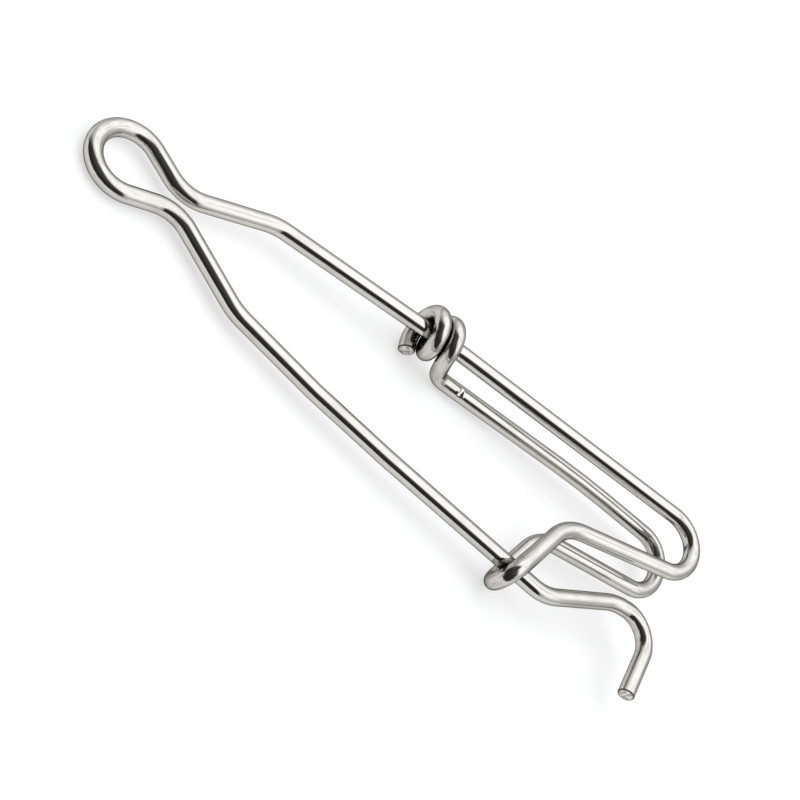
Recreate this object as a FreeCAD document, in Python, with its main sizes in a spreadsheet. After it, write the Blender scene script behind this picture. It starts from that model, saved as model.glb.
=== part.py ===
import FreeCAD, Part
import math
import os

# Spring clip for a fishing line, bent from one length of round stainless wire.
#
# The wire is drawn in the clip's own frame, in millimetres. The tip of the eye is the origin,
# +X runs down the clip to the loop, +Y is the side of the back leg and +Z is up from the plane
# of the eye and the two legs. A reach is a place along X and an offset is one along Y, both
# taken at the middle of the wire. The finished clip is then laid down as it comes to rest.

# Driving sizes: name, value, and what it is.
SIZES = [
    ("wire_diameter", 3.2, "Diameter of the round wire"),
    ("end_break", 0.3, "Bevel that the shears leave round each cut end"),
    ("eye_bend_radius", 6.13, "Radius of the round end of the eye"),
    ("neck_reach", 16.71, "Reach of the neck behind the eye"),
    ("neck_half_gap", 1.55, "Offset of each neck corner from the middle line"),
    ("neck_bend_radius", 7.49, "Radius of the two neck bends"),
    ("shoulder_bend_radius", 11.4, "Radius of the two shoulder bends"),
    ("back_shoulder_reach", 32.63, "Reach of the back leg's shoulder"),
    ("back_shoulder_offset", 10.05, "Offset of the back leg's shoulder"),
    ("back_leg_reach", 74.44, "Reach of the back leg's far end"),
    ("back_leg_offset", 14.74, "Offset of the back leg's far end"),
    ("back_leg_rise", 0.33, "Height of the back leg's far end"),
    ("back_leg_bend_radius", 20.0, "Radius where the back leg turns into the upper strand"),
    ("gate_shoulder_reach", 33.49, "Reach of the gate leg's shoulder"),
    ("gate_shoulder_offset", 10.42, "Offset of the gate leg's shoulder"),
    ("gate_bow_reach", 51.78, "Reach of the middle of the gate leg's bow"),
    ("gate_bow_offset", 13.66, "Offset of the middle of the gate leg's bow"),
    ("gate_bow_radius", 290.0, "Radius of the gate leg's bow"),
    ("gate_foot_reach", 107.72, "Reach of the gate leg's foot"),
    ("gate_foot_offset", 17.06, "Offset of the gate leg's foot"),
    ("gate_foot_radius", 9.83, "Radius of the bend at the gate leg's foot"),
    ("tail_rise_reach", 122.83, "Reach of the tail's slight bend"),
    ("tail_rise_offset", 8.13, "Offset of the tail's slight bend"),
    ("tail_rise_radius", 9.8, "Radius of the tail's slight bend"),
    ("tail_corner_reach", 133.5, "Reach of the tail's corner"),
    ("tail_corner_offset", 6.41, "Offset of the tail's corner"),
    ("tail_corner_radius", 5.69, "Radius of the tail's corner"),
    ("tail_end_reach", 130.8, "Reach of the tail's cut end"),
    ("tail_end_offset", 23.22, "Offset of the tail's cut end"),
    ("strand_spacing", 8.98, "Height between the two strands of the loop"),
    ("loop_reach", 134.2, "Reach of the end of the loop"),
    ("loop_far_offset", 14.92, "Offset of the upper strand's corner by the back leg"),
    ("loop_far_radius", 6.15, "Radius of the upper strand's corner by the back leg"),
    ("loop_near_offset", 3.67, "Offset of the upper strand's other corner"),
    ("loop_near_radius", 6.69, "Radius of the upper strand's other corner"),
    ("lower_far_inset", 0.85, "How far the lower strand's far corner lies inside the upper one's"),
    ("lower_far_radius", 5.5, "Radius of the lower strand's far corner"),
    ("lower_near_inset", 1.74, "How far the lower strand's near corner lies inside the upper one's"),
    ("lower_near_radius", 6.76, "Radius of the lower strand's near corner"),
    ("crest_reach", 105.36, "Reach of the crest where the strands turn to the gate leg"),
    ("crest_offset", 4.15, "Offset of the crest"),
    ("crest_radius", 8.4, "Radius of the crest bends"),
    ("hook_reach", 99.22, "Reach at which the hook crosses the gate leg"),
    ("hook_clearance", 0.33, "Gap between the gate leg and each strand of the hook"),
    ("hook_play", 0.68, "How far the hook's turn is centred outside the gate leg"),
    ("lower_bow_reach", 111.0, "Reach of the middle of the lower strand's bow"),
    ("lower_bow_height", 1.14, "Sideways height of the lower strand's bow"),
    ("lower_bow_radius", 163.0, "Radius of the lower strand's bow"),
    ("wrap_lead", 2.48, "From the start of the coil to the lower strand's corner"),
    ("wrap_slack", 0.35, "Extra distance of the lower strand's corner from the back leg"),
    ("wrap_corner_radius", 2.8, "Radius of the lower strand's corner"),
    ("coil_reach", 71.3, "Reach of the start of the coil"),
    ("coil_clearance", 0.31, "Gap between the coil and the back leg"),
    ("coil_turn_gap", 0.17, "Pitch of the coil less the wire's diameter"),
    ("coil_turns", 1.75, "Turns of the coil round the back leg"),
    ("coil_tight_turns", 1.25, "Turns before the coil springs open"),
    ("coil_spring_back", 0.9, "Growth of the coil's radius for each turn past those"),
    ("coil_end_run", 3.1, "Straight run at the coil's cut end"),
    ("coil_end_rise", 0.5, "Climb of that run, in degrees"),
    ("coil_end_slew", 3.0, "Swing of that run towards the loop, in degrees"),
]

# The coil is drawn as a rising polygon whose corners are all rounded.
COIL_CORNERS_PER_TURN = 8
COIL_START_ANGLE = 180.0

# How closely the wire is sampled to find how it lies, and when the search ends.
SAMPLE_DEFLECTION = 0.002
LEAN_DIRECTIONS = 36
FIRST_LEAN = 0.05
LAST_LEAN = 1e-7
SHORTEST_RUN = 1e-4

UP = FreeCAD.Vector(0, 0, 1)


def make_sheet(doc):
    """The sheet of driving sizes, each in a cell named after it."""
    sheet = doc.addObject("Spreadsheet::Sheet", "sizes")
    for row, (name, value, meaning) in enumerate(SIZES, start=1):
        sheet.set(f"A{row}", name.replace("_", " "))
        sheet.set(f"B{row}", str(value))
        sheet.setAlias(f"B{row}", name)
        sheet.set(f"C{row}", meaning)
    doc.recompute()
    return sheet


def eye_corner_offset(sheet):
    """Offset of the corners that close the eye, where a side meets the line across its tip."""
    across = sheet.neck_reach - sheet.eye_bend_radius
    to_centre = math.hypot(across, sheet.neck_half_gap)
    slope = math.atan2(sheet.neck_half_gap, across)
    touch = slope + math.acos(sheet.eye_bend_radius / to_centre)
    touch_reach = sheet.eye_bend_radius * (1 + math.cos(touch))
    touch_offset = sheet.eye_bend_radius * math.sin(touch)
    rate = (touch_offset - sheet.neck_half_gap) / (sheet.neck_reach - touch_reach)
    return sheet.neck_half_gap + rate * sheet.neck_reach


def tail_and_gate_leg(sheet):
    """Corners of the wire from the tail's cut end to the gate leg's shoulder."""
    tail_end = FreeCAD.Vector(sheet.tail_end_reach, -sheet.tail_end_offset, 0)
    tail_corner = FreeCAD.Vector(sheet.tail_corner_reach, -sheet.tail_corner_offset, 0)
    tail_rise = FreeCAD.Vector(sheet.tail_rise_reach, -sheet.tail_rise_offset, 0)
    foot = FreeCAD.Vector(sheet.gate_foot_reach, -sheet.gate_foot_offset, 0)
    bow = FreeCAD.Vector(sheet.gate_bow_reach, -sheet.gate_bow_offset, 0)
    shoulder = FreeCAD.Vector(sheet.gate_shoulder_reach, -sheet.gate_shoulder_offset, 0)
    return [
        (tail_end, 0),
        (tail_corner, sheet.tail_corner_radius),
        (tail_rise, sheet.tail_rise_radius),
        (foot, sheet.gate_foot_radius),
        (bow, sheet.gate_bow_radius),
        (shoulder, sheet.shoulder_bend_radius),
    ]


def eye(sheet):
    """Corners of the two necks and of the eye between them."""
    corner = eye_corner_offset(sheet)
    return [
        (FreeCAD.Vector(sheet.neck_reach, -sheet.neck_half_gap, 0), sheet.neck_bend_radius),
        (FreeCAD.Vector(0, -corner, 0), sheet.eye_bend_radius),
        (FreeCAD.Vector(0, corner, 0), sheet.eye_bend_radius),
        (FreeCAD.Vector(sheet.neck_reach, sheet.neck_half_gap, 0), sheet.neck_bend_radius),
    ]


def back_leg(sheet):
    """Corners at the two ends of the back leg."""
    shoulder = FreeCAD.Vector(sheet.back_shoulder_reach, sheet.back_shoulder_offset, 0)
    end = FreeCAD.Vector(sheet.back_leg_reach, sheet.back_leg_offset, sheet.back_leg_rise)
    return [(shoulder, sheet.shoulder_bend_radius), (end, sheet.back_leg_bend_radius)]


def hook_tip(sheet):
    """Reach and offset of the hook's tip, just outside the gate leg that it goes round."""
    run = (sheet.gate_foot_offset - sheet.gate_bow_offset) / (sheet.gate_foot_reach - sheet.gate_bow_reach)
    leg_offset = sheet.gate_bow_offset + run * (sheet.hook_reach - sheet.gate_bow_reach)
    centre = FreeCAD.Vector(sheet.hook_reach, -(leg_offset + sheet.hook_play), 0)
    crest = FreeCAD.Vector(sheet.crest_reach, -sheet.crest_offset, 0)
    outward = (centre - crest).normalize()
    return centre + outward * (sheet.wire_diameter + sheet.hook_clearance)


def doubled_loop(sheet):
    """Corners of the upper strand, the hook round the gate leg, and the lower strand."""
    loop_height = sheet.strand_spacing / 2
    hook_height = sheet.wire_diameter + sheet.hook_clearance
    lower_far = sheet.loop_far_offset - sheet.lower_far_inset
    lower_near = sheet.loop_near_offset - sheet.lower_near_inset
    tip = hook_tip(sheet)
    return [
        (FreeCAD.Vector(sheet.loop_reach, sheet.loop_far_offset, loop_height), sheet.loop_far_radius),
        (FreeCAD.Vector(sheet.loop_reach, sheet.loop_near_offset, loop_height), sheet.loop_near_radius),
        (FreeCAD.Vector(sheet.crest_reach, -sheet.crest_offset, hook_height), sheet.crest_radius),
        (FreeCAD.Vector(tip.x, tip.y, hook_height), hook_height),
        (FreeCAD.Vector(tip.x, tip.y, -hook_height), hook_height),
        (FreeCAD.Vector(sheet.crest_reach, -sheet.crest_offset, -hook_height), sheet.crest_radius),
        (FreeCAD.Vector(sheet.loop_reach, lower_near, -loop_height), sheet.lower_near_radius),
        (FreeCAD.Vector(sheet.loop_reach, lower_far, -loop_height), sheet.lower_far_radius),
    ]


def coil_axis(sheet):
    """A point on the back leg's straight run, and its direction."""
    (shoulder, _), (end, _) = back_leg(sheet)
    return shoulder, (end - shoulder).normalize()


def point_on_back_leg(sheet, reach):
    """The point of the back leg's middle line at a reach."""
    start, along = coil_axis(sheet)
    return start + along * ((reach - start.x) / along.x)


def lower_strand_end(sheet):
    """Corners of the lower strand's bow and of its turn into the coil."""
    reach = sheet.coil_reach + sheet.wrap_lead
    coil_radius = sheet.wire_diameter + sheet.coil_clearance
    height = -sheet.strand_spacing / 2
    leg = point_on_back_leg(sheet, reach)
    corner = FreeCAD.Vector(reach, leg.y - coil_radius - sheet.wrap_slack, height)
    far_offset = sheet.loop_far_offset - sheet.lower_far_inset
    share = (sheet.lower_bow_reach - reach) / (sheet.loop_reach - reach)
    bow_offset = corner.y + share * (far_offset - corner.y) + sheet.lower_bow_height
    bow = FreeCAD.Vector(sheet.lower_bow_reach, bow_offset, height)
    return [(bow, sheet.lower_bow_radius), (corner, sheet.wrap_corner_radius)]


def coil(sheet):
    """Corners of the coil, from beside the back leg round to the cut end under it."""
    _, along = coil_axis(sheet)
    upward = (UP - along * UP.dot(along)).normalize()
    sideways = upward.cross(along)
    outside = 1 / math.cos(math.pi / COIL_CORNERS_PER_TURN)
    pitch = sheet.wire_diameter + sheet.coil_turn_gap
    tight_radius = sheet.wire_diameter + sheet.coil_clearance
    start = point_on_back_leg(sheet, sheet.coil_reach)
    corners = []
    for step in range(round(sheet.coil_turns * COIL_CORNERS_PER_TURN) + 1):
        turns = step / COIL_CORNERS_PER_TURN
        angle = math.radians(COIL_START_ANGLE - 360 * turns)
        radius = tight_radius + sheet.coil_spring_back * max(0, turns - sheet.coil_tight_turns)
        outward = sideways * math.cos(angle) + upward * math.sin(angle)
        corners.append((start - along * (pitch * turns) + outward * (radius * outside), None))
    rise = math.radians(sheet.coil_end_rise)
    slew = math.radians(sheet.coil_end_slew)
    level = along * math.sin(slew) - sideways * math.cos(slew)
    last = corners[-1][0] + (level * math.cos(rise) + upward * math.sin(rise)) * sheet.coil_end_run
    return corners + [(last, 0)]


def largest_bend(before, after, turn):
    """Radius of the bend that uses half of the shorter run beside its corner."""
    return min(before, after) / 2 / math.tan(turn / 2)


def bent_wire(corners):
    """A wire of straight runs joined by tangent arcs, one at each corner."""
    edges = []
    reached = corners[0][0]
    for index in range(1, len(corners) - 1):
        corner, radius = corners[index]
        back = corners[index - 1][0] - corner
        ahead = corners[index + 1][0] - corner
        turn = math.pi - back.getAngle(ahead)
        if radius is None:
            radius = largest_bend(back.Length, ahead.Length, turn)
        back.normalize()
        ahead.normalize()
        setback = radius * math.tan(turn / 2)
        to_centre = radius / math.cos(turn / 2)
        first = corner + back * setback
        last = corner + ahead * setback
        inward = (back + ahead).normalize()
        middle = corner + inward * (to_centre - radius)
        if (first - reached).Length > SHORTEST_RUN:
            edges.append(Part.LineSegment(reached, first).toShape())
        else:
            first = reached
        edges.append(Part.Arc(first, middle, last).toShape())
        reached = last
    edges.append(Part.LineSegment(reached, corners[-1][0]).toShape())
    return Part.Wire(edges)


def make_middle_line(doc, sheet):
    """The line along the middle of the wire, from the tail's cut end to the coil's."""
    corners = tail_and_gate_leg(sheet) + eye(sheet) + back_leg(sheet)
    corners += doubled_loop(sheet) + lower_strand_end(sheet) + coil(sheet)
    line = doc.addObject("Part::Feature", "middle_line")
    line.Label = "middle_line"
    line.Shape = bent_wire(corners)
    return line


def make_section(doc, line):
    """The wire's round section, square to the middle line at its start."""
    section = doc.addObject("Part::Circle", "section")
    section.Label = "section"
    section.setExpression("Radius", "sizes.wire_diameter / 2")
    start = line.Shape.Edges[0]
    along = start.tangentAt(start.FirstParameter)
    section.Placement = FreeCAD.Placement(start.valueAt(start.FirstParameter), FreeCAD.Rotation(UP, along))
    return section


def make_swept_wire(doc, line, section):
    """The round wire swept along its middle line."""
    swept = doc.addObject("Part::Sweep", "swept_wire")
    swept.Label = "swept_wire"
    swept.Sections = [section]
    swept.Spine = (line, [f"Edge{number}" for number in range(1, len(line.Shape.Edges) + 1)])
    swept.Solid = True
    swept.Transition = "Transformed"
    swept.Frenet = False
    doc.recompute()
    return swept


def make_clip(doc, sheet, swept, line):
    """The swept wire with a small bevel round each sheared end."""
    clip = doc.addObject("Part::Chamfer", "clip_wire")
    clip.Label = "clip_wire"
    clip.Base = swept
    ends = [line.Shape.Edges[0].firstVertex().Point, line.Shape.Edges[-1].lastVertex().Point]
    bevels = []
    for number, edge in enumerate(swept.Shape.Edges, start=1):
        closed = edge.isClosed() and edge.Length > sheet.wire_diameter
        if closed and min((edge.CenterOfMass - end).Length for end in ends) < SHORTEST_RUN:
            bevels.append((number, sheet.end_break, sheet.end_break))
    clip.Edges = bevels
    doc.recompute()
    return clip


def resting_up(wire):
    """The direction that points up when the wire lies at rest, its centre of mass as low as it goes."""
    centre = wire.CenterOfMass
    below = [centre - point for point in wire.discretize(Deflection=SAMPLE_DEFLECTION)]
    below = [arm for arm in below if arm.z > 0]

    def height(lean):
        up = FreeCAD.Vector(lean.x, lean.y, 1).normalize()
        return max(arm.dot(up) for arm in below)

    lean = FreeCAD.Vector(0, 0, 0)
    lowest = height(lean)
    step = FIRST_LEAN
    while step > LAST_LEAN:
        tries = []
        for direction in range(LEAN_DIRECTIONS):
            angle = 2 * math.pi * direction / LEAN_DIRECTIONS
            tried = lean + FreeCAD.Vector(math.cos(angle), math.sin(angle), 0) * step
            tries.append((height(tried), direction, tried))
        best, _, tried = min(tries, key=lambda entry: entry[:2])
        if best < lowest:
            lowest, lean = best, tried
        else:
            step /= 2
    return FreeCAD.Vector(lean.x, lean.y, 1).normalize()


def lay_down(doc, clip, wire):
    """Turn the clip to its rest and bring the middle of its box's bottom to the origin."""
    turn = FreeCAD.Rotation(resting_up(wire), UP)
    turned = clip.Shape.copy()
    turned.Placement = FreeCAD.Placement(FreeCAD.Vector(0, 0, 0), turn)
    box = turned.optimalBoundingBox(False)
    middle = FreeCAD.Vector((box.XMin + box.XMax) / 2, (box.YMin + box.YMax) / 2, box.ZMin)
    clip.Placement = FreeCAD.Placement(middle * -1, turn)
    doc.recompute()


def check(doc, clip):
    """Stop if any object failed or the clip isn't one valid solid."""
    for item in doc.Objects:
        if "Invalid" in item.State or "Error" in item.State:
            raise RuntimeError(f"{item.Label} failed: {item.State}")
    if clip.Shape.isNull() or not clip.Shape.isValid():
        raise RuntimeError("clip_wire has no valid shape")
    if len(clip.Shape.Solids) != 1:
        raise RuntimeError(f"clip_wire has {len(clip.Shape.Solids)} solids")


def main():
    doc = FreeCAD.newDocument("fishing_line_clip")
    sheet = make_sheet(doc)
    line = make_middle_line(doc, sheet)
    section = make_section(doc, line)
    swept = make_swept_wire(doc, line, section)
    clip = make_clip(doc, sheet, swept, line)
    lay_down(doc, clip, line.Shape)
    check(doc, clip)
    os.makedirs("parts", exist_ok=True)
    clip.Shape.exportStep(f"parts/{clip.Label}.step")
    expected = math.pi * sheet.wire_diameter**2 / 4 * line.Shape.Length
    print(f"wire length {line.Shape.Length:.2f} mm")
    print(f"volume {clip.Shape.Volume:.1f} mm3, section times length {expected:.1f} mm3")
    print(f"edges bevelled {len(clip.Edges)}, placement {clip.Placement}")


main()
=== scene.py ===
import math
from collections import namedtuple

import bmesh
import bpy
from mathutils import Euler, Matrix, Vector


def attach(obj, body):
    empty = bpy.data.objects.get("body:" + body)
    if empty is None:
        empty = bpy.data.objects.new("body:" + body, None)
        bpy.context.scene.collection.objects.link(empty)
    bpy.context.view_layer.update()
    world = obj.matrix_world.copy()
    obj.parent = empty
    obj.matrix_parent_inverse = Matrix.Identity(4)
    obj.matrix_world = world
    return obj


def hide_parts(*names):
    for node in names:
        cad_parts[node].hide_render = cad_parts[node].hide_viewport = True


bl_info = {
    "name": "Fishing line clip",
    "version": (1, 0, 0),
    "blender": (4, 5, 0),
    "location": "View3D > Sidebar > Line clip",
    "description": "Bends a spring clip for a fishing line from one bright wire and lights it",
    "category": "Add Mesh",
}

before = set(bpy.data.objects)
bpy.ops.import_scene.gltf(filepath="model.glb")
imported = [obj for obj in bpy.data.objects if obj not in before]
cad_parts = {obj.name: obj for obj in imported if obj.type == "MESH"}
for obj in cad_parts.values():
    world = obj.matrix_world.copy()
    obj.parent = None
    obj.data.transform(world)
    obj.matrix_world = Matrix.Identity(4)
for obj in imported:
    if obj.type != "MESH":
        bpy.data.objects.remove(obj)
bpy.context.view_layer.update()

# The clip is drawn in its own frame. The tip of the eye is the origin, +X runs down the clip to the
# loop, +Y is the side of the back leg and +Z is up from the plane of the eye and the two legs. A
# reach is a place along X and an offset is one along Y, both at the middle of the wire. The clip is
# then laid down at its place of rest, turned by so many degrees about X, Y and Z.
UP = Vector((0.0, 0.0, 1.0))
REST_PLACE = (-0.0671226, 0.00226364, 0.00184674)
REST_TURN = (4.28171, -2.80586, -0.104911)

# The coil is drawn as a rising polygon whose corners are all rounded.
COIL_CORNERS_PER_TURN = 8
COIL_START_ANGLE = math.radians(180.0)

ALONG_WIRE = "along_wire"
WORKED = "worked"
CUT_FACES = "cut_faces"
SHORTEST_RUN = 1e-6

# A bend of the first radius or less is marked all over by the bending tools, and one of the
# second radius or more isn't marked. The marks fade along the wire over the third length.
MARKED_RADIUS = 0.0045
CLEAN_RADIUS = 0.0095
MARKS_FADE = 0.0015

# A pliers' nick on the lower strand near the coil, as the clip lies: its middle on the wire's skin,
# the way out of the wire there, and the width of the fine rings that are fed round it.
NICK = Vector((0.01202, 0.01286, 0.00346))
NICK_OUTWARD = Vector((0.0, -0.51, 0.86))
NICK_RINGS = 8
NICK_RING_WIDTH = 0.00018

# Steps of the nick: place along the wire, half its length, half its width and how far it moves.
NICK_STEPS = (
    (0.0, 0.00040, 0.00085, -0.00005),
    (0.0, 0.00022, 0.00065, -0.00009),
    (-0.0006, 0.00020, 0.00060, 0.00006),
    (0.0006, 0.00020, 0.00045, 0.00005),
)

# The cut faces: the share of the bevel's depth that counts as the face, the share that takes in the
# bevel too, the share of the face's radius that is torn, and the size and depth of the tears.
FACE_SHARE = 0.1
BEVEL_SHARE = 1.1
TORN_SHARE = 0.92
TORN_GRAIN = 0.0008
TORN_DEPTH = 0.0003

# Edges that turn by less than this are shaded smooth.
SMOOTH_ANGLE = math.radians(35.0)

# Grains to a metre, first along the wire and then in the two directions across it.
DRAWING_LINES = (70.0, 4200.0, 4200.0)
FINE_LINES = (260.0, 9000.0, 9000.0)
RIPPLES = (2300.0, 900.0, 900.0)
SMEARS = (180.0, 420.0, 420.0)
SCRAPES = (420.0, 3600.0, 3600.0)
SPECKS = (5200.0, 5200.0, 5200.0)
TORN_STEEL = (1500.0, 1500.0, 1500.0)

# How near another part of the wire darkens the steel with painted shade, and how deep the marks on the
# wire and the grains of the cut faces look.
CREVICE_REACH = 0.0016
MARK_DEPTH = 0.000005
GRAIN_DEPTH = 0.0001

# The painted dark rim of a cut face, a painted reflection on its bevel: where it starts and ends inside the
# wire's skin, and how far it wavers.
RIM_START = 0.00034
RIM_END = 0.00018
RIM_WAVER = 0.0006

# Tint of the bright wire where it is seen edge on, and colour of the torn steel.
EDGE_TINT = (0.2, 0.19, 0.18, 1.0)
TORN_COLOUR = (0.74, 0.71, 0.66)

# The camera stands on the gate leg's side and looks down on the clip, turned by so many degrees
# about X, Y and Z.
CAMERA_PLACE = (-0.09177, -0.16761, 0.16845)
CAMERA_TURN = (29.552, -41.484, 20.715)
CAMERA_LENS = 65.25
CAMERA_NEAR = 0.01

# A square softbox overhead, with its side and its power.
SOFTBOX_PLACE = (0.1, 0.2, 0.9)
SOFTBOX_TURN = (-0.22, 0.1, 0.0)
SOFTBOX_SIDE = 1.0
SOFTBOX_POWER = 2.4

# Direction of the middle of the dark room, from +X towards +Y.
ROOM_SIDE = math.radians(-112.0)

# The direction that the dark room's sloping ceiling is measured along.
ROOM_CEILING = Vector((0.393, 0.0, 0.919))

# The studio's white is a little cool. Its walls and its tent have these strengths, and the dark
# room and the tent's seam take these shares of the light away.
STUDIO_WHITE = (0.98, 1.0, 1.03, 1.0)
WALL_LIGHT = 0.68
TENT_LIGHT = 1.68
ROOM_DARKNESS = 0.955
SEAM_DARKNESS = 0.4


def length_property(name, default, description):
    """A length in metres."""
    return bpy.props.FloatProperty(name=name, description=description, default=default, unit="LENGTH")


def angle_property(name, degrees, description):
    """An angle, given in degrees."""
    turn = math.radians(degrees)
    return bpy.props.FloatProperty(name=name, description=description, default=turn, subtype="ANGLE")


def number_property(name, default, description):
    """A plain number."""
    return bpy.props.FloatProperty(name=name, description=description, default=default, subtype="UNSIGNED")


class LINECLIP_PG_wire(bpy.types.PropertyGroup):
    """Sizes and colours of the bent wire."""

    diameter: bpy.props.FloatProperty(
        name="Wire diameter",
        description="Diameter of the round wire",
        default=0.0032,
        unit="LENGTH",
    )
    end_break: bpy.props.FloatProperty(
        name="End bevel",
        description="Bevel that the shears leave round each cut end",
        default=0.00015,
        unit="LENGTH",
    )
    eye_bend_radius: length_property("Eye bend radius", 0.00613, "Radius of the round end of the eye")
    neck_reach: length_property("Neck reach", 0.01671, "Reach of the neck behind the eye")
    neck_half_gap: length_property(
        "Neck half gap", 0.00155,
        "Offset of each neck corner from the middle line",
    )
    neck_bend_radius: length_property("Neck bend radius", 0.00749, "Radius of the two neck bends")
    shoulder_bend_radius: length_property(
        "Shoulder bend radius", 0.0114,
        "Radius of the two shoulder bends",
    )
    back_shoulder_reach: length_property("Back shoulder reach", 0.03263, "Reach of the back leg's shoulder")
    back_shoulder_offset: length_property(
        "Back shoulder offset", 0.01005,
        "Offset of the back leg's shoulder",
    )
    back_leg_reach: length_property("Back leg reach", 0.07444, "Reach of the back leg's far end")
    back_leg_offset: length_property("Back leg offset", 0.01474, "Offset of the back leg's far end")
    back_leg_rise: length_property("Back leg rise", 0.00033, "Height of the back leg's far end")
    back_leg_bend_radius: length_property(
        "Back leg bend radius", 0.02,
        "Radius where the back leg turns into the upper strand",
    )
    gate_shoulder_reach: length_property("Gate shoulder reach", 0.03349, "Reach of the gate leg's shoulder")
    gate_shoulder_offset: length_property(
        "Gate shoulder offset", 0.01042,
        "Offset of the gate leg's shoulder",
    )
    gate_bow_reach: length_property("Gate bow reach", 0.05178, "Reach of the middle of the gate leg's bow")
    gate_bow_offset: length_property(
        "Gate bow offset", 0.01366,
        "Offset of the middle of the gate leg's bow",
    )
    gate_bow_radius: length_property("Gate bow radius", 0.29, "Radius of the gate leg's bow")
    gate_foot_reach: length_property("Gate foot reach", 0.10772, "Reach of the gate leg's foot")
    gate_foot_offset: length_property("Gate foot offset", 0.01706, "Offset of the gate leg's foot")
    gate_foot_radius: length_property(
        "Gate foot radius", 0.00983,
        "Radius of the bend at the gate leg's foot",
    )
    tail_rise_reach: length_property("Tail rise reach", 0.12283, "Reach of the tail's slight bend")
    tail_rise_offset: length_property("Tail rise offset", 0.00813, "Offset of the tail's slight bend")
    tail_rise_radius: length_property("Tail rise radius", 0.0098, "Radius of the tail's slight bend")
    tail_corner_reach: length_property("Tail corner reach", 0.1335, "Reach of the tail's corner")
    tail_corner_offset: length_property("Tail corner offset", 0.00641, "Offset of the tail's corner")
    tail_corner_radius: length_property("Tail corner radius", 0.00569, "Radius of the tail's corner")
    tail_end_reach: length_property("Tail end reach", 0.1308, "Reach of the tail's cut end")
    tail_end_offset: length_property("Tail end offset", 0.02322, "Offset of the tail's cut end")
    strand_spacing: length_property("Strand spacing", 0.00898, "Height between the two strands of the loop")
    loop_reach: length_property("Loop reach", 0.1342, "Reach of the end of the loop")
    loop_far_offset: length_property(
        "Loop far offset", 0.01492,
        "Offset of the upper strand's corner by the back leg",
    )
    loop_far_radius: length_property(
        "Loop far radius", 0.00615,
        "Radius of the upper strand's corner by the back leg",
    )
    loop_near_offset: length_property(
        "Loop near offset", 0.00367,
        "Offset of the upper strand's other corner",
    )
    loop_near_radius: length_property(
        "Loop near radius", 0.00669,
        "Radius of the upper strand's other corner",
    )
    lower_far_inset: length_property(
        "Lower far inset", 0.00085,
        "How far the lower strand's far corner lies inside the upper one's",
    )
    lower_far_radius: length_property("Lower far radius", 0.0055, "Radius of the lower strand's far corner")
    lower_near_inset: length_property(
        "Lower near inset", 0.00174,
        "How far the lower strand's near corner lies inside the upper one's",
    )
    lower_near_radius: length_property(
        "Lower near radius", 0.00676,
        "Radius of the lower strand's near corner",
    )
    crest_reach: length_property(
        "Crest reach", 0.10536,
        "Reach of the crest where the strands turn to the gate leg",
    )
    crest_offset: length_property("Crest offset", 0.00415, "Offset of the crest")
    crest_radius: length_property("Crest radius", 0.0084, "Radius of the crest bends")
    hook_reach: length_property("Hook reach", 0.09922, "Reach at which the hook crosses the gate leg")
    hook_clearance: length_property(
        "Hook clearance", 0.00033,
        "Gap between the gate leg and each strand of the hook",
    )
    hook_play: length_property(
        "Hook play", 0.00068,
        "How far the hook's turn is centred outside the gate leg",
    )
    lower_bow_reach: length_property(
        "Lower bow reach", 0.111,
        "Reach of the middle of the lower strand's bow",
    )
    lower_bow_height: length_property(
        "Lower bow height", 0.00114,
        "Sideways height of the lower strand's bow",
    )
    lower_bow_radius: length_property("Lower bow radius", 0.163, "Radius of the lower strand's bow")
    wrap_lead: length_property(
        "Wrap lead", 0.00248,
        "From the start of the coil to the lower strand's corner",
    )
    wrap_slack: length_property(
        "Wrap slack", 0.00035,
        "Extra distance of the lower strand's corner from the back leg",
    )
    wrap_corner_radius: length_property("Wrap corner radius", 0.0028, "Radius of the lower strand's corner")
    coil_reach: length_property("Coil reach", 0.0713, "Reach of the start of the coil")
    coil_clearance: length_property("Coil clearance", 0.00031, "Gap between the coil and the back leg")
    coil_turn_gap: length_property("Coil turn gap", 0.00017, "Pitch of the coil less the wire's diameter")
    coil_turns: number_property("Coil turns", 1.75, "Turns of the coil round the back leg")
    coil_tight_turns: number_property("Coil tight turns", 1.25, "Turns before the coil springs open")
    coil_spring_back: length_property(
        "Coil spring back", 0.0009,
        "Growth of the coil's radius for each turn past the tight ones",
    )
    coil_end_run: length_property("Coil end run", 0.0031, "Straight run at the coil's cut end")
    coil_end_rise: angle_property("Coil end rise", 0.5, "Climb of the run at the coil's cut end")
    coil_end_slew: angle_property("Coil end slew", 3.0, "Swing of that end run towards the loop")
    facets: bpy.props.IntProperty(
        name="Facets round the wire",
        description="Number of faces round the wire",
        default=48,
    )
    bend_step: bpy.props.FloatProperty(
        name="Bend step",
        description="Turn between one ring of a bend and the next",
        default=math.radians(4.0),
        subtype="ANGLE",
    )
    feed_step: bpy.props.FloatProperty(
        name="Feed step",
        description="Longest straight between one ring and the next",
        default=0.003,
        unit="LENGTH",
    )
    steel: bpy.props.FloatVectorProperty(
        name="Steel",
        description="Colour of the bright drawn steel",
        default=(0.60, 0.58, 0.54),
        subtype="COLOR",
        size=3,
    )
    dull_steel: bpy.props.FloatVectorProperty(
        name="Dull steel",
        description="Colour of the steel where it is a little smeared",
        default=(0.40, 0.385, 0.355),
        subtype="COLOR",
        size=3,
    )
    # The painted shade colour: the painted shade in the crevices, and the painted dark rim and the painted
    # shade in the pits of the cut faces.
    painted_shade: bpy.props.FloatVectorProperty(
        name="Painted shade",
        description="Colour of the steel where dirt stays, in the crevices and round the cut faces",
        default=(0.05, 0.045, 0.04),
        subtype="COLOR",
        size=3,
    )


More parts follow.
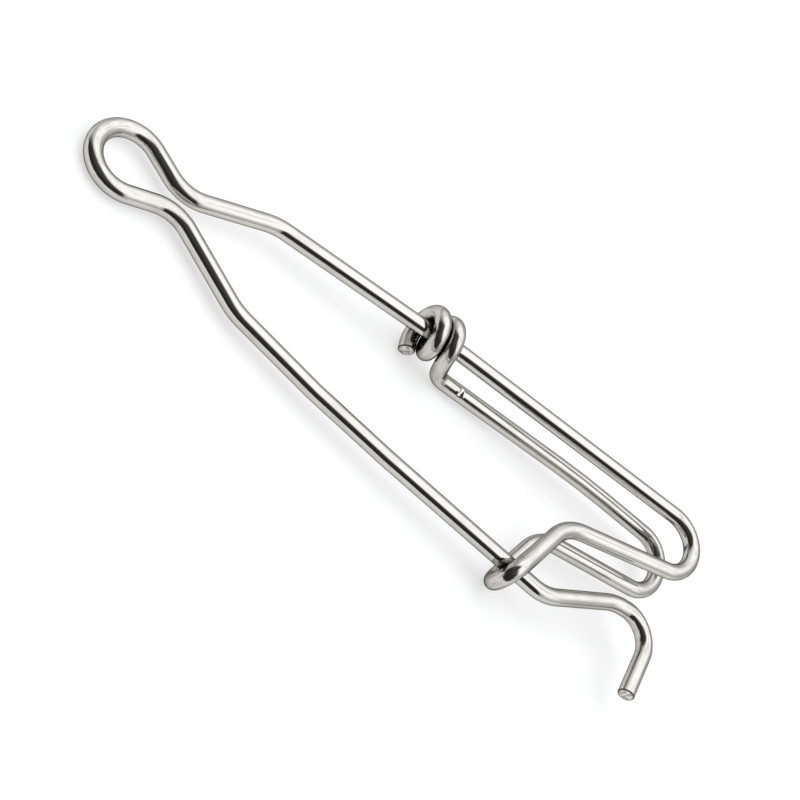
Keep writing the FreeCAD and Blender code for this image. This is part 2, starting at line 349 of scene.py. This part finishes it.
class LINECLIP_PG_stage(bpy.types.PropertyGroup):
    """Floor and light round the clip."""

    floor_size: bpy.props.FloatProperty(
        name="Floor size",
        description="Side of the square floor",
        default=6.0,
        unit="LENGTH",
    )
    floor: bpy.props.FloatVectorProperty(
        name="Floor",
        description="Colour of the white table",
        default=(0.82, 0.82, 0.815),
        subtype="COLOR",
        size=3,
    )
    floor_glow: bpy.props.FloatProperty(
        name="Floor glow",
        description="Strength of the white that the table adds to what is seen of it",
        default=1.25,
    )
    floor_glow_share: bpy.props.FloatProperty(
        name="Floor glow share",
        description="Share of that white, against the table as it is lit",
        default=0.5,
        subtype="FACTOR",
    )


class Value:
    """A shader socket that can be used in sums."""

    def __init__(self, maker, socket):
        self.maker = maker
        self.socket = socket

    def _math(self, operation, first, second):
        return self.maker.add("ShaderNodeMath", {"operation": operation}, {0: first, 1: second})

    def __add__(self, other):
        return self._math("ADD", self, other)

    def __radd__(self, other):
        return self._math("ADD", other, self)

    def __sub__(self, other):
        return self._math("SUBTRACT", self, other)

    def __rsub__(self, other):
        return self._math("SUBTRACT", other, self)

    def __mul__(self, other):
        return self._math("MULTIPLY", self, other)

    def __rmul__(self, other):
        return self._math("MULTIPLY", other, self)


def colour(values):
    """A colour with full alpha, or a socket's value as it is."""
    return values if isinstance(values, Value) else (*values, 1.0)


class Nodes:
    """Adds nodes to one material or world."""

    def __init__(self, owner):
        owner.use_nodes = True
        self.tree = owner.node_tree
        self.tree.nodes.clear()

    def add(self, kind, settings=None, inputs=None, output=0):
        """A node of a kind, its settings made first, then its sockets; one output as a value."""
        node = self.tree.nodes.new(kind)
        for name, setting in (settings or {}).items():
            setattr(node, name, setting)
        for name, value in (inputs or {}).items():
            if isinstance(value, Value):
                self.tree.links.new(value.socket, node.inputs[name])
            else:
                node.inputs[name].default_value = value
        return Value(self, node.outputs[output]) if len(node.outputs) else None

    def smooth(self, value, low, high):
        """A smooth step from 0 at low to 1 at high."""
        settings = {"interpolation_type": "SMOOTHSTEP"}
        return self.add("ShaderNodeMapRange", settings, {"Value": value, "From Min": low, "From Max": high})

    def blend(self, factor, first, second):
        """One colour turning into another."""
        settings = {"data_type": "RGBA"}
        colours = {6: colour(first), 7: colour(second)}
        return self.add("ShaderNodeMix", settings, {0: factor, **colours}, output=2)

    def noise(self, place, stretch, detail, roughness=0.5):
        """Noise from 0 to 1, with so many grains to a metre along each axis."""
        scaled = self.add("ShaderNodeVectorMath", {"operation": "MULTIPLY"}, {0: place, 1: stretch})
        inputs = {"Vector": scaled, "Scale": 1.0, "Detail": detail, "Roughness": roughness}
        return self.add("ShaderNodeTexNoise", None, inputs)


def bright_wire(sizes):
    """Bright drawn stainless wire with drawing lines, marked more where it is bent hard, and with painted
    shade where other parts of the wire come near.
    """
    material = bpy.data.materials.new("bright_drawn_wire")
    nodes = Nodes(material)
    place = nodes.add("ShaderNodeAttribute", {"attribute_name": ALONG_WIRE}, output=1)
    worked = nodes.add("ShaderNodeAttribute", {"attribute_name": WORKED}, output=2)
    crevice = nodes.add("ShaderNodeAmbientOcclusion", {"samples": 8}, {"Distance": CREVICE_REACH}, output=1)
    lines = nodes.noise(place, DRAWING_LINES, 3.0)
    fine_lines = nodes.noise(place, FINE_LINES, 2.0)
    ripples = nodes.noise(place, RIPPLES, 2.0)
    smears = nodes.noise(place, SMEARS, 4.0, 0.6)
    scrapes = nodes.noise(place, SCRAPES, 4.0, 0.65)
    specks = nodes.noise(place, SPECKS, 1.0)
    smeared = nodes.smooth(smears, 0.45, 0.72)
    speckled = nodes.smooth(specks, 0.70, 0.78)
    scraped = nodes.smooth(scrapes, 0.46, 0.60) * worked
    # Painted shade: where another part of the wire is near, the steel is blended towards the painted shade
    # colour and made rougher.
    crevice_shade = 1.0 - nodes.smooth(crevice, 0.18, 0.74)
    dull = smeared * 0.35 + speckled * 0.35 + scraped * 0.75
    steel = nodes.blend(crevice_shade * 0.9, nodes.blend(dull, sizes.steel, sizes.dull_steel), sizes.painted_shade)
    roughness = 0.05 + smeared * 0.07 + lines * 0.04 + speckled * 0.12 + scraped * 0.14 + crevice_shade * 0.15
    relief = lines * 0.6 + fine_lines * 0.25 + ripples * 0.3 - speckled * 0.4
    marked = relief + worked * (scrapes * 3.4 + fine_lines * 0.9)
    bump = nodes.add("ShaderNodeBump", None, {"Strength": 1.0, "Distance": MARK_DEPTH, "Height": marked})
    surface = nodes.add(
        "ShaderNodeBsdfPrincipled",
        None,
        {
            "Base Color": steel,
            "Metallic": 1.0,
            "Roughness": roughness,
            "Specular Tint": EDGE_TINT,
            "Normal": bump,
        },
    )
    nodes.add("ShaderNodeOutputMaterial", None, {"Surface": surface})
    return material


def sheared_face(sizes):
    """The torn, grainy steel of a cut end, with a painted dark reflection round its rim and painted shade
    in its pits.
    """
    material = bpy.data.materials.new("sheared_steel")
    nodes = Nodes(material)
    place = nodes.add("ShaderNodeAttribute", {"attribute_name": ALONG_WIRE}, output=1)
    across = nodes.add("ShaderNodeVectorMath", {"operation": "MULTIPLY"}, {0: place, 1: (0.0, 1.0, 1.0)})
    from_middle = nodes.add("ShaderNodeVectorMath", {"operation": "LENGTH"}, {0: across}, output=1)
    grains = nodes.noise(place, TORN_STEEL, 4.0, 0.7)
    torn = nodes.smooth(grains, 0.40, 0.60)
    # Painted shade in the low pits of the grain.
    pits = 1.0 - nodes.smooth(grains, 0.34, 0.44)
    uneven = from_middle + (grains - 0.5) * RIM_WAVER
    rim = nodes.smooth(uneven, sizes.diameter / 2 - RIM_START, sizes.diameter / 2 - RIM_END)
    face = nodes.blend(torn, sizes.dull_steel, TORN_COLOUR)
    # The rim is painted dark as a reflection and the pits as shade, both blended towards the painted shade
    # colour.
    steel = nodes.blend(rim * 0.95 + pits * (1.0 - rim) * 0.6, face, sizes.painted_shade)
    roughness = 0.55 - torn * 0.2
    bump = nodes.add("ShaderNodeBump", None, {"Strength": 0.6, "Distance": GRAIN_DEPTH, "Height": grains})
    surface = nodes.add(
        "ShaderNodeBsdfPrincipled",
        None,
        {"Base Color": steel, "Metallic": 1.0, "Roughness": roughness, "Normal": bump},
    )
    nodes.add("ShaderNodeOutputMaterial", None, {"Surface": surface})
    return material


def eye_corner_offset(sizes):
    """Offset of the corners that close the eye, where a side meets the line across its tip."""
    across = sizes.neck_reach - sizes.eye_bend_radius
    to_centre = math.hypot(across, sizes.neck_half_gap)
    slope = math.atan2(sizes.neck_half_gap, across)
    touch = slope + math.acos(sizes.eye_bend_radius / to_centre)
    touch_reach = sizes.eye_bend_radius * (1 + math.cos(touch))
    touch_offset = sizes.eye_bend_radius * math.sin(touch)
    rate = (touch_offset - sizes.neck_half_gap) / (sizes.neck_reach - touch_reach)
    return sizes.neck_half_gap + rate * sizes.neck_reach


def tail_and_gate_leg(sizes):
    """Corners of the wire from the tail's cut end to the gate leg's shoulder."""
    tail_end = Vector((sizes.tail_end_reach, -sizes.tail_end_offset, 0))
    tail_corner = Vector((sizes.tail_corner_reach, -sizes.tail_corner_offset, 0))
    tail_rise = Vector((sizes.tail_rise_reach, -sizes.tail_rise_offset, 0))
    foot = Vector((sizes.gate_foot_reach, -sizes.gate_foot_offset, 0))
    bow = Vector((sizes.gate_bow_reach, -sizes.gate_bow_offset, 0))
    shoulder = Vector((sizes.gate_shoulder_reach, -sizes.gate_shoulder_offset, 0))
    return [
        (tail_end, 0),
        (tail_corner, sizes.tail_corner_radius),
        (tail_rise, sizes.tail_rise_radius),
        (foot, sizes.gate_foot_radius),
        (bow, sizes.gate_bow_radius),
        (shoulder, sizes.shoulder_bend_radius),
    ]


def eye(sizes):
    """Corners of the two necks and of the eye between them."""
    corner = eye_corner_offset(sizes)
    return [
        (Vector((sizes.neck_reach, -sizes.neck_half_gap, 0)), sizes.neck_bend_radius),
        (Vector((0, -corner, 0)), sizes.eye_bend_radius),
        (Vector((0, corner, 0)), sizes.eye_bend_radius),
        (Vector((sizes.neck_reach, sizes.neck_half_gap, 0)), sizes.neck_bend_radius),
    ]


def back_leg(sizes):
    """Corners at the two ends of the back leg."""
    shoulder = Vector((sizes.back_shoulder_reach, sizes.back_shoulder_offset, 0))
    end = Vector((sizes.back_leg_reach, sizes.back_leg_offset, sizes.back_leg_rise))
    return [(shoulder, sizes.shoulder_bend_radius), (end, sizes.back_leg_bend_radius)]


def hook_tip(sizes):
    """Reach and offset of the hook's tip, just outside the gate leg that it goes round."""
    run = (sizes.gate_foot_offset - sizes.gate_bow_offset) / (sizes.gate_foot_reach - sizes.gate_bow_reach)
    leg_offset = sizes.gate_bow_offset + run * (sizes.hook_reach - sizes.gate_bow_reach)
    centre = Vector((sizes.hook_reach, -(leg_offset + sizes.hook_play), 0))
    crest = Vector((sizes.crest_reach, -sizes.crest_offset, 0))
    outward = (centre - crest).normalized()
    return centre + outward * (sizes.diameter + sizes.hook_clearance)


def doubled_loop(sizes):
    """Corners of the upper strand, the hook round the gate leg, and the lower strand."""
    loop_height = sizes.strand_spacing / 2
    hook_height = sizes.diameter + sizes.hook_clearance
    lower_far = sizes.loop_far_offset - sizes.lower_far_inset
    lower_near = sizes.loop_near_offset - sizes.lower_near_inset
    tip = hook_tip(sizes)
    return [
        (Vector((sizes.loop_reach, sizes.loop_far_offset, loop_height)), sizes.loop_far_radius),
        (Vector((sizes.loop_reach, sizes.loop_near_offset, loop_height)), sizes.loop_near_radius),
        (Vector((sizes.crest_reach, -sizes.crest_offset, hook_height)), sizes.crest_radius),
        (Vector((tip.x, tip.y, hook_height)), hook_height),
        (Vector((tip.x, tip.y, -hook_height)), hook_height),
        (Vector((sizes.crest_reach, -sizes.crest_offset, -hook_height)), sizes.crest_radius),
        (Vector((sizes.loop_reach, lower_near, -loop_height)), sizes.lower_near_radius),
        (Vector((sizes.loop_reach, lower_far, -loop_height)), sizes.lower_far_radius),
    ]


def coil_axis(sizes):
    """A point on the back leg's straight run, and its direction."""
    (shoulder, _), (end, _) = back_leg(sizes)
    return shoulder, (end - shoulder).normalized()


def point_on_back_leg(sizes, reach):
    """The point of the back leg's middle line at a reach."""
    start, along = coil_axis(sizes)
    return start + along * ((reach - start.x) / along.x)


def lower_strand_end(sizes):
    """Corners of the lower strand's bow and of its turn into the coil."""
    reach = sizes.coil_reach + sizes.wrap_lead
    coil_radius = sizes.diameter + sizes.coil_clearance
    height = -sizes.strand_spacing / 2
    leg = point_on_back_leg(sizes, reach)
    corner = Vector((reach, leg.y - coil_radius - sizes.wrap_slack, height))
    far_offset = sizes.loop_far_offset - sizes.lower_far_inset
    share = (sizes.lower_bow_reach - reach) / (sizes.loop_reach - reach)
    bow_offset = corner.y + share * (far_offset - corner.y) + sizes.lower_bow_height
    bow = Vector((sizes.lower_bow_reach, bow_offset, height))
    return [(bow, sizes.lower_bow_radius), (corner, sizes.wrap_corner_radius)]


def coil(sizes):
    """Corners of the coil, from beside the back leg round to the cut end under it."""
    _, along = coil_axis(sizes)
    upward = (UP - along * UP.dot(along)).normalized()
    sideways = upward.cross(along)
    outside = 1 / math.cos(math.pi / COIL_CORNERS_PER_TURN)
    pitch = sizes.diameter + sizes.coil_turn_gap
    tight_radius = sizes.diameter + sizes.coil_clearance
    start = point_on_back_leg(sizes, sizes.coil_reach)
    corners = []
    for step in range(round(sizes.coil_turns * COIL_CORNERS_PER_TURN) + 1):
        turns = step / COIL_CORNERS_PER_TURN
        angle = COIL_START_ANGLE - 2 * math.pi * turns
        radius = tight_radius + sizes.coil_spring_back * max(0, turns - sizes.coil_tight_turns)
        outward = sideways * math.cos(angle) + upward * math.sin(angle)
        corners.append((start - along * (pitch * turns) + outward * (radius * outside), None))
    rise, slew = sizes.coil_end_rise, sizes.coil_end_slew
    level = along * math.sin(slew) - sideways * math.cos(slew)
    last = corners[-1][0] + (level * math.cos(rise) + upward * math.sin(rise)) * sizes.coil_end_run
    return corners + [(last, 0)]


def largest_bend(before, after, turn):
    """Radius of the bend that uses half of the shorter run beside its corner."""
    return min(before, after) / 2 / math.tan(turn / 2)


def corners_at_rest(sizes):
    """Corners of the wire's middle line as the clip lies at rest, each with its bend's radius."""
    corners = tail_and_gate_leg(sizes) + eye(sizes) + back_leg(sizes)
    corners += doubled_loop(sizes) + lower_strand_end(sizes) + coil(sizes)
    turn = Euler([math.radians(angle) for angle in REST_TURN]).to_matrix().to_4x4()
    at_rest = Matrix.Translation(REST_PLACE) @ turn
    return [(at_rest @ corner, radius) for corner, radius in corners]


# A ring of points of the wire: the wire fed before it, its middle, the directions to its first side
# and along the wire, and how hard the wire is worked there.
Ring = namedtuple("Ring", "fed middle side along worked")


class WireBender:
    """Feeds a ring of points along straights and round bends, and notes where each ring lies."""

    def __init__(self, context, sizes, start, along):
        self.sizes = sizes
        self.middle = start
        self.along = along
        self.side = along.orthogonal().normalized()
        self.fed = 0.0
        self.rings = []
        self.note(0.0)
        bpy.ops.object.select_all(action="DESELECT")
        bpy.ops.mesh.primitive_circle_add(
            vertices=sizes.facets,
            radius=sizes.diameter / 2 - sizes.end_break,
            fill_type="NOTHING",
            location=start,
            rotation=along.to_track_quat("Z", "Y").to_euler(),
        )
        self.wire = context.object
        self.wire.name = "bent_wire"
        bpy.ops.object.transform_apply(location=True, rotation=True, scale=True)
        bpy.ops.object.mode_set(mode="EDIT")
        bpy.ops.mesh.select_all(action="SELECT")

    def note(self, worked):
        """Keep where the last ring lies and how hard the wire is worked there."""
        self.rings.append(Ring(self.fed, self.middle, self.side, self.along, worked))

    def feed(self, length):
        """Draw the wire straight on, ring by ring, with fine rings past the nick."""
        count = math.ceil(length / self.sizes.feed_step)
        stops = [length * number / count for number in range(1, count + 1)]
        ahead = (NICK - self.middle).dot(self.along)
        off = (NICK - self.middle - self.along * ahead).length
        if 0 < ahead < length and off < self.sizes.diameter:
            stops += [ahead + number * NICK_RING_WIDTH for number in range(-NICK_RINGS, NICK_RINGS + 1)]
        reached = 0.0
        for stop in sorted(stops):
            step = self.along * (stop - reached)
            bpy.ops.mesh.extrude_region_move(TRANSFORM_OT_translate={"value": step})
            self.middle = self.middle + step
            self.fed += stop - reached
            self.note(0.0)
            reached = stop

    def widen(self, factor):
        """Make the last ring wider or narrower."""
        bpy.ops.transform.resize(value=(factor,) * 3, center_override=self.middle)

    def bend(self, centre, axis, angle):
        """Bend the wire round an axis; a spin goes clockwise about it, so its angle is negative."""
        steps = max(2, math.ceil(angle / self.sizes.bend_step))
        bpy.ops.mesh.spin(steps=steps, angle=-angle, center=centre, axis=axis, use_auto_merge=False)
        radius = (self.middle - centre).length
        worked = min(1.0, max(0.0, (CLEAN_RADIUS - radius) / (CLEAN_RADIUS - MARKED_RADIUS)))
        start, side, along, fed = self.middle, self.side, self.along, self.fed
        for step in range(1, steps + 1):
            turn = Matrix.Rotation(angle * step / steps, 3, axis)
            self.middle = centre + turn @ (start - centre)
            self.side = turn @ side
            self.along = turn @ along
            self.fed = fed + radius * angle * step / steps
            self.note(worked)


def bend_wire(context, sizes):
    """The wire, bent corner after corner along its route."""
    corners = corners_at_rest(sizes)
    bevel = sizes.end_break
    width = sizes.diameter / 2 / (sizes.diameter / 2 - bevel)
    first, last = corners[0][0], corners[-1][0]
    bender = WireBender(context, sizes, first, (corners[1][0] - first).normalized())
    bender.feed(bevel)
    bender.widen(width)
    for index in range(1, len(corners) - 1):
        corner, radius = corners[index]
        back = corners[index - 1][0] - corner
        ahead = corners[index + 1][0] - corner
        turn = math.pi - back.angle(ahead)
        if radius is None:
            radius = largest_bend(back.length, ahead.length, turn)
        back.normalize()
        ahead.normalize()
        touch = corner + back * radius * math.tan(turn / 2)
        centre = corner + (back + ahead).normalized() * radius / math.cos(turn / 2)
        run = (touch - bender.middle).dot(bender.along)
        if run > SHORTEST_RUN:
            bender.feed(run)
        bender.bend(centre, ahead.cross(back).normalized(), turn)
    bender.feed((last - bender.middle).length - bevel)
    bender.feed(bevel)
    bender.widen(1 / width)
    return bender


def select_points(wire, chosen):
    """Select the points of a mesh in edit mode that pass a test, and what lies between them."""
    bpy.ops.mesh.select_all(action="DESELECT")
    bpy.ops.mesh.select_mode(type="VERT")
    mesh = bmesh.from_edit_mesh(wire.data)
    for point in mesh.verts:
        point.select = chosen(point.co)
    mesh.select_flush(True)
    bmesh.update_edit_mesh(wire.data)


def close_ends(bender):
    """Close both cut ends with a fine grid of faces, in a slot of its own material."""
    wire = bender.wire
    wire.vertex_groups.new(name=CUT_FACES)
    bevel = bender.sizes.end_break
    inner = bender.sizes.diameter / 2 - bevel
    for end in (bender.rings[0], bender.rings[-1]):

        def on_end(point, depth=bevel * FACE_SHARE, reach=bender.sizes.diameter):
            """Whether a point lies so near the cut end's plane and its middle."""
            away = point - end.middle
            return abs(away.dot(end.along)) < depth and away.length < reach

        select_points(wire, on_end)
        bpy.ops.mesh.fill_grid(span=bender.sizes.facets // 4)
        bpy.ops.mesh.subdivide(number_cuts=1)
        select_points(wire, lambda point: on_end(point, depth=bevel * BEVEL_SHARE))
        wire.active_material_index = 1
        bpy.ops.object.material_slot_assign()
        select_points(wire, lambda point: on_end(point, reach=inner * TORN_SHARE))
        bpy.ops.object.vertex_group_assign()


def nick_wire(bender):
    """The pliers' nick: a dent across the wire, with a small burr on each side of it."""
    out = NICK_OUTWARD.normalized()
    towards_coil = bender.rings[-1].middle - NICK
    along = (towards_coil - out * towards_coil.dot(out)).normalized()
    across = out.cross(along)
    for place, half_length, half_width, depth in NICK_STEPS:

        def in_step(point):
            """Whether a point of the wire's skin lies within this step's box."""
            away = point - NICK
            near = max(abs(away.dot(along) - place) / half_length, abs(away.dot(across)) / half_width)
            return near < 1 and away.dot(out) > -bender.sizes.diameter / 3

        select_points(bender.wire, in_step)
        bpy.ops.transform.translate(value=out * depth)


def tear_cut_faces(bender):
    """Make the two cut faces uneven, as shears leave them."""
    wire = bender.wire
    torn = bpy.data.textures.new("torn_steel", type="CLOUDS")
    torn.noise_scale = TORN_GRAIN
    torn.noise_depth = 2
    uneven = wire.modifiers.new("torn", "DISPLACE")
    uneven.texture = torn
    uneven.texture_coords = "LOCAL"
    uneven.vertex_group = CUT_FACES
    uneven.mid_level = 0.5
    uneven.strength = TORN_DEPTH
    bpy.ops.object.modifier_apply(modifier=uneven.name)


def worked_along(rings):
    """How much each ring is marked by the bending tools, faded along the wire."""
    marked = [ring for ring in rings if ring.worked > 0]

    def strongest(place):
        """The strongest mark that reaches a place along the wire."""
        return max(ring.worked * math.exp(-abs(place - ring.fed) / MARKS_FADE) for ring in marked)

    return [strongest(ring.fed) for ring in rings]


def note_place_along(bender):
    """Give each point its place on the wire as if that were straight, and how worked it is there."""
    mesh = bender.wire.data
    mesh.attributes.new(ALONG_WIRE, "FLOAT_VECTOR", "POINT")
    mesh.attributes.new(WORKED, "FLOAT", "POINT")
    places = mesh.attributes[ALONG_WIRE]
    marks = mesh.attributes[WORKED]
    worked = worked_along(bender.rings)
    count = bender.sizes.facets
    for index, point in enumerate(mesh.vertices):
        number = index // count
        # The points after those of the rings lie in the two cut faces.
        if number >= len(bender.rings):
            number = 0 if (point.co - bender.rings[0].middle).length < bender.sizes.diameter else -1
        ring = bender.rings[number]
        away = point.co - ring.middle
        other_side = ring.along.cross(ring.side)
        places.data[index].vector = (ring.fed, away.dot(ring.side), away.dot(other_side))
        marks.data[index].value = worked[number]


class LINECLIP_OT_wire(bpy.types.Operator):
    """Bend the whole clip from one length of bright wire"""

    bl_idname = "line_clip.wire"
    bl_label = "Bent wire"

    def execute(self, context):
        sizes = context.scene.line_clip_wire
        bender = bend_wire(context, sizes)
        wire = bender.wire
        wire.data.materials.append(bright_wire(sizes))
        wire.data.materials.append(sheared_face(sizes))
        close_ends(bender)
        nick_wire(bender)
        bpy.ops.mesh.select_all(action="SELECT")
        bpy.ops.mesh.normals_make_consistent(inside=False)
        bpy.ops.object.mode_set(mode="OBJECT")
        tear_cut_faces(bender)
        note_place_along(bender)
        bpy.ops.object.shade_smooth_by_angle(angle=SMOOTH_ANGLE)
        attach(wire, "root")
        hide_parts("clip_wire")
        return {"FINISHED"}


def white_table(sizes):
    """A white table with its shadows, a little whiter where it is seen, also in the wire."""
    material = bpy.data.materials.new("white_table")
    nodes = Nodes(material)
    table = nodes.add("ShaderNodeBsdfDiffuse", None, {"Color": colour(sizes.floor)})
    glow = nodes.add("ShaderNodeEmission", None, {"Color": (1, 1, 1, 1), "Strength": sizes.floor_glow})
    by_camera = nodes.add("ShaderNodeLightPath")
    by_gloss = nodes.add("ShaderNodeLightPath", output="Is Glossy Ray")
    by_glass = nodes.add("ShaderNodeLightPath", output="Is Transmission Ray")
    share = (by_camera + by_gloss + by_glass) * sizes.floor_glow_share
    surface = nodes.add("ShaderNodeMixShader", None, {0: share, 1: table, 2: glow})
    nodes.add("ShaderNodeOutputMaterial", None, {"Surface": surface})
    return material


def studio_dome(world):
    """White tent overhead, dimmer walls with two softboxes, a dark room on the camera's side.

    A turn is in radians from the middle of the dark room, and a height is the sine of an elevation.
    """
    nodes = Nodes(world)
    towards = nodes.add("ShaderNodeTexCoord")

    def part(direction):
        """How much of a direction there is in where the light comes from."""
        inputs = {0: towards, 1: direction}
        return nodes.add("ShaderNodeVectorMath", {"operation": "DOT_PRODUCT"}, inputs, output=1)

    def between(value, low, high, soft):
        """1 between two values and 0 outside them, with soft edges."""
        below = 1.0 - nodes.smooth(value, high - soft, high + soft)
        return nodes.smooth(value, low - soft, low + soft) * below

    room = Vector((math.cos(ROOM_SIDE), math.sin(ROOM_SIDE), 0.0))
    left = Vector((-room.y, room.x, 0.0))
    height = part(UP)
    turn = nodes.add("ShaderNodeMath", {"operation": "ARCTAN2"}, {0: part(left), 1: part(room)})
    beside = (1.0 - nodes.smooth(turn, 0.93, 1.08)) * nodes.smooth(turn, -1.80, -1.35)
    dark = beside * (1.0 - nodes.smooth(part(ROOM_CEILING), 0.75, 0.93))
    right_box = between(turn, 1.17, 1.69, 0.12) * nodes.smooth(height, 0.20, 0.68)
    back_box = between(turn, -2.80, -2.0, 0.15) * nodes.smooth(height, 0.10, 0.45)
    walls = WALL_LIGHT + nodes.smooth(height, 0.2, 0.6) * 0.12 + right_box * 0.75 + back_box * 0.4
    tent = walls + (TENT_LIGHT - walls) * nodes.smooth(height, 0.50, 0.78)
    seam = between(turn, 1.95, 2.35, 0.1) * between(height, 0.84, 0.92, 0.02)
    light = tent * (1.0 - seam * SEAM_DARKNESS) * (1.0 - dark * ROOM_DARKNESS)
    seen = nodes.add("ShaderNodeLightPath")
    strength = seen + (1.0 - seen) * light
    background = nodes.add("ShaderNodeBackground", None, {"Color": STUDIO_WHITE, "Strength": strength})
    nodes.add("ShaderNodeOutputWorld", None, {"Surface": background})


class LINECLIP_OT_stage(bpy.types.Operator):
    """Set the clip on a white table in soft studio light, with the camera over it"""

    bl_idname = "line_clip.stage"
    bl_label = "Table, light and camera"

    def execute(self, context):
        sizes = context.scene.line_clip_stage
        bpy.ops.object.select_all(action="DESELECT")
        bpy.ops.mesh.primitive_plane_add(size=sizes.floor_size, location=(0, 0, 0))
        table = context.object
        table.name = "table"
        table.data.materials.append(white_table(sizes))
        scene = context.scene
        scene.world = bpy.data.worlds.new("studio")
        studio_dome(scene.world)
        bpy.ops.object.light_add(type="AREA", location=SOFTBOX_PLACE, rotation=SOFTBOX_TURN)
        lamp = context.object
        lamp.name = "softbox"
        lamp.data.shape = "SQUARE"
        lamp.data.size = SOFTBOX_SIDE
        lamp.data.energy = SOFTBOX_POWER
        lamp.visible_glossy = False
        turn = [math.radians(angle) for angle in CAMERA_TURN]
        bpy.ops.object.camera_add(location=CAMERA_PLACE, rotation=turn)
        camera = context.object
        camera.name = "camera"
        camera.data.lens = CAMERA_LENS
        camera.data.clip_start = CAMERA_NEAR
        scene.camera = camera
        scene.view_settings.view_transform = "Standard"
        return {"FINISHED"}


class LINECLIP_PT_panel(bpy.types.Panel):
    """Buttons and sizes of the clip."""

    bl_idname = "LINECLIP_PT_panel"
    bl_label = "Line clip"
    bl_space_type = "VIEW_3D"
    bl_region_type = "UI"
    bl_category = "Line clip"

    def draw(self, context):
        layout = self.layout
        for operator, group in (
            (LINECLIP_OT_wire, context.scene.line_clip_wire),
            (LINECLIP_OT_stage, context.scene.line_clip_stage),
        ):
            layout.operator(operator.bl_idname)
            for name in group.bl_rna.properties.keys():
                if name not in {"rna_type", "name"}:
                    layout.prop(group, name)


CLASSES = (
    LINECLIP_PG_wire,
    LINECLIP_PG_stage,
    LINECLIP_OT_wire,
    LINECLIP_OT_stage,
    LINECLIP_PT_panel,
)


def register():
    for kind in CLASSES:
        bpy.utils.register_class(kind)
    bpy.types.Scene.line_clip_wire = bpy.props.PointerProperty(type=LINECLIP_PG_wire)
    bpy.types.Scene.line_clip_stage = bpy.props.PointerProperty(type=LINECLIP_PG_stage)


def unregister():
    del bpy.types.Scene.line_clip_stage
    del bpy.types.Scene.line_clip_wire
    for kind in reversed(CLASSES):
        bpy.utils.unregister_class(kind)


def main():
    register()
    bpy.ops.line_clip.wire()
    bpy.ops.line_clip.stage()


if __name__ == "__main__":
    main()
